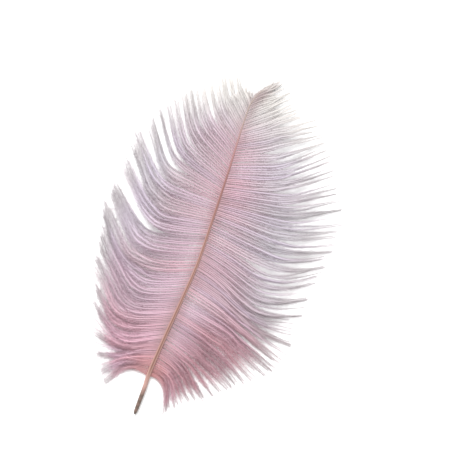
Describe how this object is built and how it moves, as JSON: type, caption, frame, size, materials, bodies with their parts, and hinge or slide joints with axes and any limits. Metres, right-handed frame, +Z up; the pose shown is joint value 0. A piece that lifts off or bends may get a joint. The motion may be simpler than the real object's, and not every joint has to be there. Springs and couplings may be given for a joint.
{
  "type": "ostrich feather",
  "caption": "Small dyed ostrich plume lying on a table: a slim curved shaft with a bare quill, and a broad, soft, arched vane of long loose barbs on both sides.",
  "frame": {"origin": "on the table, under the middle of the bare quill's flat underside, 7 mm from the quill's end", "axes": "+Y along the shaft from the quill to the tip, +Z up from the table, +X towards the wider vane, on the right when the quill points to the viewer"},
  "size_m": [0.1174, 0.1822, 0.0067],
  "materials": {
    "dyed_barbs": "soft matt, dyed pale pink that fades to grey-white outwards",
    "rachis_keratin": "satin, tan shaft with a darker groove, grey-brown horn at the bare quill"
  },
  "bodies": {
    "root": {"ostrich_feather": "dyed_barbs"}
  },
  "joints": []
}
